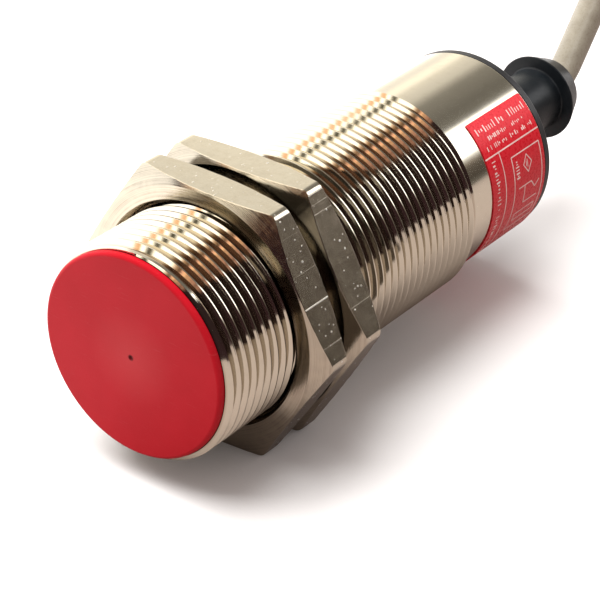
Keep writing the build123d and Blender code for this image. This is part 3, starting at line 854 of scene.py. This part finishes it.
# ---------------------------------------------------------------- rear plug and boot
plug_outline = rounded(
    [
        (PLUG_BORE_R, plug_low.y, 0.0),
        (PLUG_R, plug_low.y, 0.3),
        (PLUG_R, PLUG_GROOVE_Y[0], 0.0),
        (PLUG_GROOVE_R, PLUG_GROOVE_Y[0], 0.15),
        (PLUG_GROOVE_R, PLUG_GROOVE_Y[1], 0.15),
        (PLUG_R, PLUG_GROOVE_Y[1], 0.0),
        (PLUG_R, barrel_high.y, 0.0),
        (PLUG_RIM_R, barrel_high.y + 0.02, 0.06),
        (PLUG_RIM_R, plug_high.y, 0.38),
        (PLUG_BORE_R, plug_high.y, 0.15),
    ]
)
add_piece("rear_plug_body", *lathe(plug_outline, 180), plug_plastic, "rear_plug")


def boot_outline():
    """The boot: collar, hidden shank, base, a neck that sweeps in from it, and a flange that tapers back."""
    low, end, rim = boot_low.y, boot_high.y, plug_high.y + GAP
    inner_end = plug_low.y - 2 * GAP
    base = (BOOT_BASE_R, rim + BOOT_BASE_THICKNESS)
    hidden = rounded(
        [
            (BOOT_BORE_R, low, 0.2),
            (BOOT_COLLAR_R, low, 0.3),
            (BOOT_COLLAR_R, inner_end, 0.2),
            (BOOT_SHANK_R, inner_end, 0.1),
            (BOOT_SHANK_R, rim, 0.0),
            (BOOT_BASE_R, rim, 0.15),
            (*base, 0.0),
        ],
        4,
    )
    neck = Vector((BOOT_NECK_R, BOOT_NECK_START_Y))
    sweep = hermite(Vector(base), Vector((-4.5, 1.8)), neck, Vector((0, 7.5)), 14)
    flange = rounded(
        [
            (BOOT_NECK_R, BOOT_NECK_START_Y, 0.0),
            (BOOT_NECK_R, BOOT_FLANGE_Y, 0.3),
            (boot_high.x, BOOT_FLANGE_Y, 0.18),
            (BOOT_END_R, end, 0.5),
            (BOOT_MOUTH_R, end, 0.15),
            (BOOT_BORE_R, end - BOOT_MOUTH_DEPTH, 0.0),
        ],
        7,
    )[1:]
    return hidden + sweep + flange


boot = lathe(boot_outline(), 140)
add_piece("strain_relief_boot_body", *boot, boot_rubber, "strain_relief_boot", sharp_deg=50)


# ---------------------------------------------------------------- cable and wires
def bend_point(side, lift, heading):
    """A point in the tail's first bend, offset sideways and towards the bend's inside."""
    r = CABLE_BEND_R - lift
    return Vector((side, CABLE_BEND_Y + r * math.sin(heading), CABLE_BEND_R - r * math.cos(heading)))


def crest_point(side, lift, heading):
    """A point in the tail's second bend, where it turns over and droops."""
    top = bend_point(0, 0, CLIMB)
    y = top.y + CABLE_RISE * math.cos(CLIMB) + CABLE_CREST_R * math.sin(CLIMB)
    z = top.z + CABLE_RISE * math.sin(CLIMB) - CABLE_CREST_R * math.cos(CLIMB)
    r = CABLE_CREST_R + lift
    return Vector((side, y - r * math.sin(heading), z + r * math.cos(heading)))


def tail_path(side, lift):
    """The tail from inside the plug to the jacket's end: straight, bent up, straight, then bent over."""
    start = Vector((side, CABLE_START_Y, lift))
    path = [start.lerp(bend_point(side, lift, 0), step / 16) for step in range(16)]
    path += [bend_point(side, lift, CLIMB * step / 16) for step in range(16)]
    foot, top = bend_point(side, lift, CLIMB), crest_point(side, lift, CLIMB)
    path += [foot.lerp(top, step / 14) for step in range(14)]
    return path + [crest_point(side, lift, CLIMB + (DROOP - CLIMB) * step / 26) for step in range(27)]


jacket = tube(tail_path(0, 0), CABLE_R, 48, CABLE_BORE_R, 0.12)
add_piece("cable_jacket_sheath", *jacket, cable_pvc, "cable_jacket")


def wire_path(pad_x, side, lift, start_y):
    """One wire from its pad on the board, through the jacket, to where its insulation ends."""
    forward = Vector((0, math.cos(DROOP), math.sin(DROOP)))
    fan, entry = Vector((pad_x, WIRE_FAN_Y, WIRE_PAD_Z)), Vector((side, CABLE_START_Y, lift))
    along = Vector((0, (entry - fan).length, 0))
    path = [Vector((pad_x, start_y, WIRE_PAD_Z)), fan] + hermite(fan, along, entry, along, 12)
    path += tail_path(side, lift)[1:]
    end = path[-1]
    spread = Vector((SPLAY * side / WIRE_R, 0, SPLAY * lift / WIRE_R))
    tip = end + forward * STRIPPED_LENGTH + spread
    slope = forward * (tip - end).length
    return path + hermite(end, slope, tip, slope, 16)


def strand_bundle(path, strand_r, lay=9.0):
    """Seven fine strands along a path, six of them twisted round the middle one."""
    frames = path_frames(path)
    verts, faces = [], []
    for strand in range(7):
        travelled, line = 0.0, []
        for index, (point, (right, up)) in enumerate(zip(path, frames)):
            if index:
                travelled += (point - path[index - 1]).length
            turn = math.radians(60 * strand) + 2 * math.pi * travelled / lay
            out = 0.0 if strand == 6 else 2 * strand_r
            line.append(point + right * (out * math.cos(turn)) + up * (out * math.sin(turn)))
        keep = len(line) - random.randint(0, 2)
        more_verts, more_faces = tube(line[:keep], strand_r, 8, edge=0.03)
        faces += [[corner + len(verts) for corner in face] for face in more_faces]
        verts += more_verts
    return verts, faces


WIRE_LOOKS = {
    "brown": moulded("brown_wire_pvc", (0.080, 0.030, 0.012), (0.110, 0.045, 0.020), 0.35),
    "blue": moulded("blue_wire_pvc", (0.008, 0.045, 0.260), (0.014, 0.065, 0.330), 0.35),
    "black": black_pvc,
}
triangle_r = 2 * WIRE_R / math.sqrt(3) + GAP / 2
for index, (wire, look) in enumerate(WIRE_LOOKS.items()):
    turn = math.radians(210 - 120 * index)
    place = (WIRE_SPACING * (index - 1), triangle_r * math.cos(turn), triangle_r * math.sin(turn))
    skin = tube(wire_path(*place, WIRE_SKIN_START_Y), WIRE_R, 20, WIRE_SKIN_BORE_R, 0.06)
    add_piece(f"{wire}_wire_skin", *skin, look, f"{wire}_wire_insulation")
    core = wire_path(*place, WIRE_CORE_START_Y)
    heading = (core[-1] - core[-2]).normalized()
    core += [core[-1] + heading * (BARE_END * step / 8) for step in range(1, 9)]
    bundle = strand_bundle(core, STRAND_BUNDLE_R / 3)
    add_piece(f"{wire}_wire_copper", *bundle, copper, f"{wire}_wire_strands")


# ---------------------------------------------------------------- floor, light and camera
FLOOR_LEFT, FLOOR_RIGHT = -900.0, 900.0
FLOOR_FRONT, FLOOR_BACK = -112.0, 1200.0


def make_floor():
    """A plain pale table top under the nuts' lowest edges. It ends a little way in front of the part.

    To everything but the camera it is darker on the right, as a table in a part-lit room would be.
    """
    level = cad_box[0].z
    front = [(FLOOR_LEFT, FLOOR_FRONT), (FLOOR_RIGHT, FLOOR_FRONT)]
    back = [(FLOOR_RIGHT, FLOOR_BACK), (FLOOR_LEFT, FLOOR_BACK)]
    mesh = bpy.data.meshes.new("floor")
    mesh.from_pydata([(x * MM, y * MM, level) for x, y in front + back], [], [(0, 1, 2, 3)])
    s = Shader("table_top")
    fibre = s.noise(s.place, 1.5)
    seen = s.mix(s.noise(s.place, 0.02), (0.80, 0.79, 0.78), (0.83, 0.82, 0.81))
    mirrored = s.mix(s.span(s.x, -22.0, 2.0), (0.85, 0.84, 0.83), (0.30, 0.262, 0.245))
    tint = s.mix(s.node("ShaderNodeLightPath").outputs["Is Camera Ray"], mirrored, seen)
    mesh.materials.append(s.finish(Base_Color=tint, Roughness=0.65, Normal=s.bump(fibre, 0.02)))
    table_top = bpy.data.objects.new("floor", mesh)
    bpy.context.scene.collection.objects.link(table_top)


def heading_vector(azimuth, elevation):
    """A direction from the part: azimuth runs from +Y towards +X, in degrees."""
    a, e = math.radians(azimuth), math.radians(elevation)
    return Vector((math.sin(a) * math.cos(e), math.cos(a) * math.cos(e), math.sin(e)))


def softbox(name, azimuth, elevation, distance, size, power):
    """A square area light aimed at the part. It lights the scene but isn't itself mirrored in the metal."""
    data = bpy.data.lights.new(name, "AREA")
    data.size = size
    data.energy = power
    lamp = bpy.data.objects.new(name, data)
    towards = heading_vector(azimuth, elevation)
    lamp.location = (cad_box[0] + cad_box[1]) / 2 + towards * distance
    lamp.rotation_euler = towards.to_track_quat("Z", "Y").to_euler()
    lamp.visible_glossy = False
    bpy.context.scene.collection.objects.link(lamp)


WHITE, CREAM, AMBER = (1.0, 1.0, 1.0), (1.0, 0.95, 0.83), (1.0, 0.58, 0.31)
COPPER, OLIVE, PLUM = (1.0, 0.51, 0.34), (1.0, 0.9, 0.55), (1.0, 0.6, 0.6)
SILVER, BROWN = (1.0, 0.955, 0.86), (1.0, 0.86, 0.74)

# strips of light that run along the part, overhead: the angle from +Z towards +X, a colour and a strength
OVERHEAD = (
    (-180, WHITE, 2.6), (-100, WHITE, 2.4), (-91, SILVER, 1.35), (-83, SILVER, 1.15), (-75, SILVER, 1.12),
    (-67, CREAM, 1.42), (-60, CREAM, 1.42), (-52, CREAM, 0.98), (-43, SILVER, 0.86), (-34, SILVER, 0.78),
    (-27, SILVER, 0.48), (-21, SILVER, 0.29), (-8, SILVER, 0.24), (6, SILVER, 0.18), (16, SILVER, 0.20),
    (22, WHITE, 0.32), (25, WHITE, 2.6), (57, WHITE, 2.6), (61, WHITE, 0.9), (66, BROWN, 0.30),
    (71, BROWN, 0.13), (84, BROWN, 0.08), (92, SILVER, 0.18), (180, SILVER, 0.25),
)
# what stands square above the part, as the thread's deep grooves see it, by the same angle
ABOVE = (
    (-180, WHITE, 2.4), (-58, WHITE, 2.4), (-52, AMBER, 1.4), (-46, CREAM, 2.2), (-14, CREAM, 2.0),
    (-9, AMBER, 0.5), (-4, COPPER, 0.10), (6, COPPER, 0.22), (24, COPPER, 0.15), (28, PLUM, 0.03),
    (180, PLUM, 0.05),
)
# what stands low in front of the part: the angle from -Y towards +X, a colour and a strength
IN_FRONT = (
    (-180, WHITE, 1.8), (-41, WHITE, 1.8), (-39, AMBER, 1.3), (-36.5, AMBER, 1.1), (-35.5, CREAM, 2.2),
    (-33, CREAM, 2.2), (-32, OLIVE, 0.09), (-28.5, OLIVE, 0.09), (-27.5, CREAM, 2.2), (-15, CREAM, 1.9),
    (-13.5, AMBER, 0.8), (-11, AMBER, 0.2), (-9.5, AMBER, 0.08), (-8.5, COPPER, 1.1), (-7.2, AMBER, 1.5),
    (-6, COPPER, 0.35), (-4.8, AMBER, 1.2), (-3.4, COPPER, 0.2), (-2, COPPER, 0.9), (-0.5, COPPER, 0.15),
    (1.5, COPPER, 0.5), (4, PLUM, 0.03), (180, PLUM, 0.03),
)
FRONT_LOW, FRONT_HIGH = 6.0, 33.0  # the elevations that it fills
# below it: darkness, but for a bright wall beyond this angle to the left
DARKNESS = (0.035, 0.018, 0.020, 1.0)
WALL = (1.7, 1.7, 1.7, 1.0)
WALL_TURN = -41.0


def make_world():
    """Mirrors see a small studio of strips and windows; the camera and soft light see a plain pale sky."""
    world = bpy.data.worlds.new("studio")
    bpy.context.scene.world = world
    world.use_nodes = True
    world.cycles.sampling_method = "NONE"  # so that a mirrored ray always finds the studio
    tree = world.node_tree
    tree.nodes.clear()

    def node(kind, *values, **settings):
        made = tree.nodes.new(kind)
        for key, value in settings.items():
            setattr(made, key, value)
        for socket, value in zip(made.inputs, values):
            if isinstance(value, bpy.types.NodeSocket):
                tree.links.new(value, socket)
            elif value is not None:
                socket.default_value = value
        return made

    def maths(operation, *values):
        return node("ShaderNodeMath", *values, operation=operation).outputs[0]

    def turn_of(first, second):
        """The angle whose tangent is first over second, as 0 to 1 for -180 to 180 degrees."""
        turn = maths("ARCTAN2", first, second)
        return maths("ADD", maths("DIVIDE", turn, 2 * math.pi), 0.5)

    def ramp(place, stops):
        made = node("ShaderNodeValToRGB", place)
        points = made.color_ramp.elements
        while len(points) < len(stops):
            points.new(0.5)
        brightest = max(strength for _, _, strength in stops)
        for point, (degrees, tint, strength) in zip(points, stops):
            point.position = degrees / 360 + 0.5
        for point, (degrees, tint, strength) in zip(points, stops):
            point.color = (*[part * strength / brightest for part in tint], 1.0)
        scaled = node("ShaderNodeVectorMath", made.outputs[0], operation="SCALE")
        scaled.inputs["Scale"].default_value = brightest
        return scaled.outputs[0]

    def step_up(value, low, high):
        """0 at low, 1 at high, with a soft step between."""
        made = node("ShaderNodeMapRange", value, low, high, 0.0, 1.0, interpolation_type="SMOOTHSTEP")
        return made.outputs[0]

    def mix(share, first, second):
        made = node("ShaderNodeMix", data_type="RGBA")
        for socket, value in ((made.inputs[0], share), (made.inputs[6], first), (made.inputs[7], second)):
            if isinstance(value, bpy.types.NodeSocket):
                tree.links.new(value, socket)
            else:
                socket.default_value = value
        return made.outputs[2]

    ray = node("ShaderNodeTexCoord").outputs["Generated"]
    x, y, z = node("ShaderNodeSeparateXYZ", ray).outputs[:3]
    overhead = ramp(turn_of(x, z), OVERHEAD)
    front_turn = turn_of(x, maths("MULTIPLY", y, -1.0))
    front = ramp(front_turn, IN_FRONT)
    wall = step_up(front_turn, 0.5 + WALL_TURN / 360, 0.5 + (WALL_TURN - 4) / 360)
    low = mix(wall, DARKNESS, WALL)
    rise = maths("ARCSINE", z)
    front = mix(step_up(rise, math.radians(FRONT_LOW - 2), math.radians(FRONT_LOW + 1)), low, front)
    front = mix(step_up(rise, math.radians(FRONT_HIGH), math.radians(FRONT_HIGH + 6)), front, overhead)
    above = ramp(turn_of(x, z), ABOVE)
    behind = mix(step_up(y, 0.40, 0.55), above, overhead)
    studio = mix(step_up(y, -0.15, -0.30), behind, front)

    seen = node("ShaderNodeBackground", studio, 1.0)
    plain = node("ShaderNodeBackground", (1.0, 0.885, 0.85, 1.0), SKY_STRENGTH)
    sky = node("ShaderNodeBackground", (1.0, 1.0, 1.0, 1.0), 1.0)
    path = node("ShaderNodeLightPath").outputs
    soft = node("ShaderNodeMixShader", path["Is Glossy Ray"], plain.outputs[0], seen.outputs[0])
    shown = node("ShaderNodeMixShader", path["Is Camera Ray"], soft.outputs[0], sky.outputs[0])
    node("ShaderNodeOutputWorld", shown.outputs[0])


SKY_STRENGTH = 0.68
CAMERA_AT_MM = Vector((167.66, -197.57, 168.56))
CAMERA_AZIMUTH = 35.76
CAMERA_ELEVATION = 31.64
CAMERA_ROLL = 2.38
CAMERA_LENS = 149.8


def make_camera():
    """The camera looks down on the sensing end; azimuth 0 would look along +Y."""
    data = bpy.data.cameras.new("camera")
    data.lens = CAMERA_LENS
    data.sensor_width = 36.0
    data.clip_start = 0.01
    camera = bpy.data.objects.new("camera", data)
    spin = Matrix.Rotation(math.radians(CAMERA_AZIMUTH), 4, "Z")
    tilt = Matrix.Rotation(math.radians(90 - CAMERA_ELEVATION), 4, "X")
    roll = Matrix.Rotation(math.radians(CAMERA_ROLL), 4, "Z")
    camera.matrix_world = Matrix.Translation(CAMERA_AT_MM * MM) @ spin @ tilt @ roll
    bpy.context.scene.collection.objects.link(camera)
    bpy.context.scene.camera = camera


make_floor()
make_world()
softbox("key", azimuth=-115, elevation=68, distance=1.5, size=1.4, power=49.0)
make_camera()
bpy.context.scene.view_settings.view_transform = "Standard"
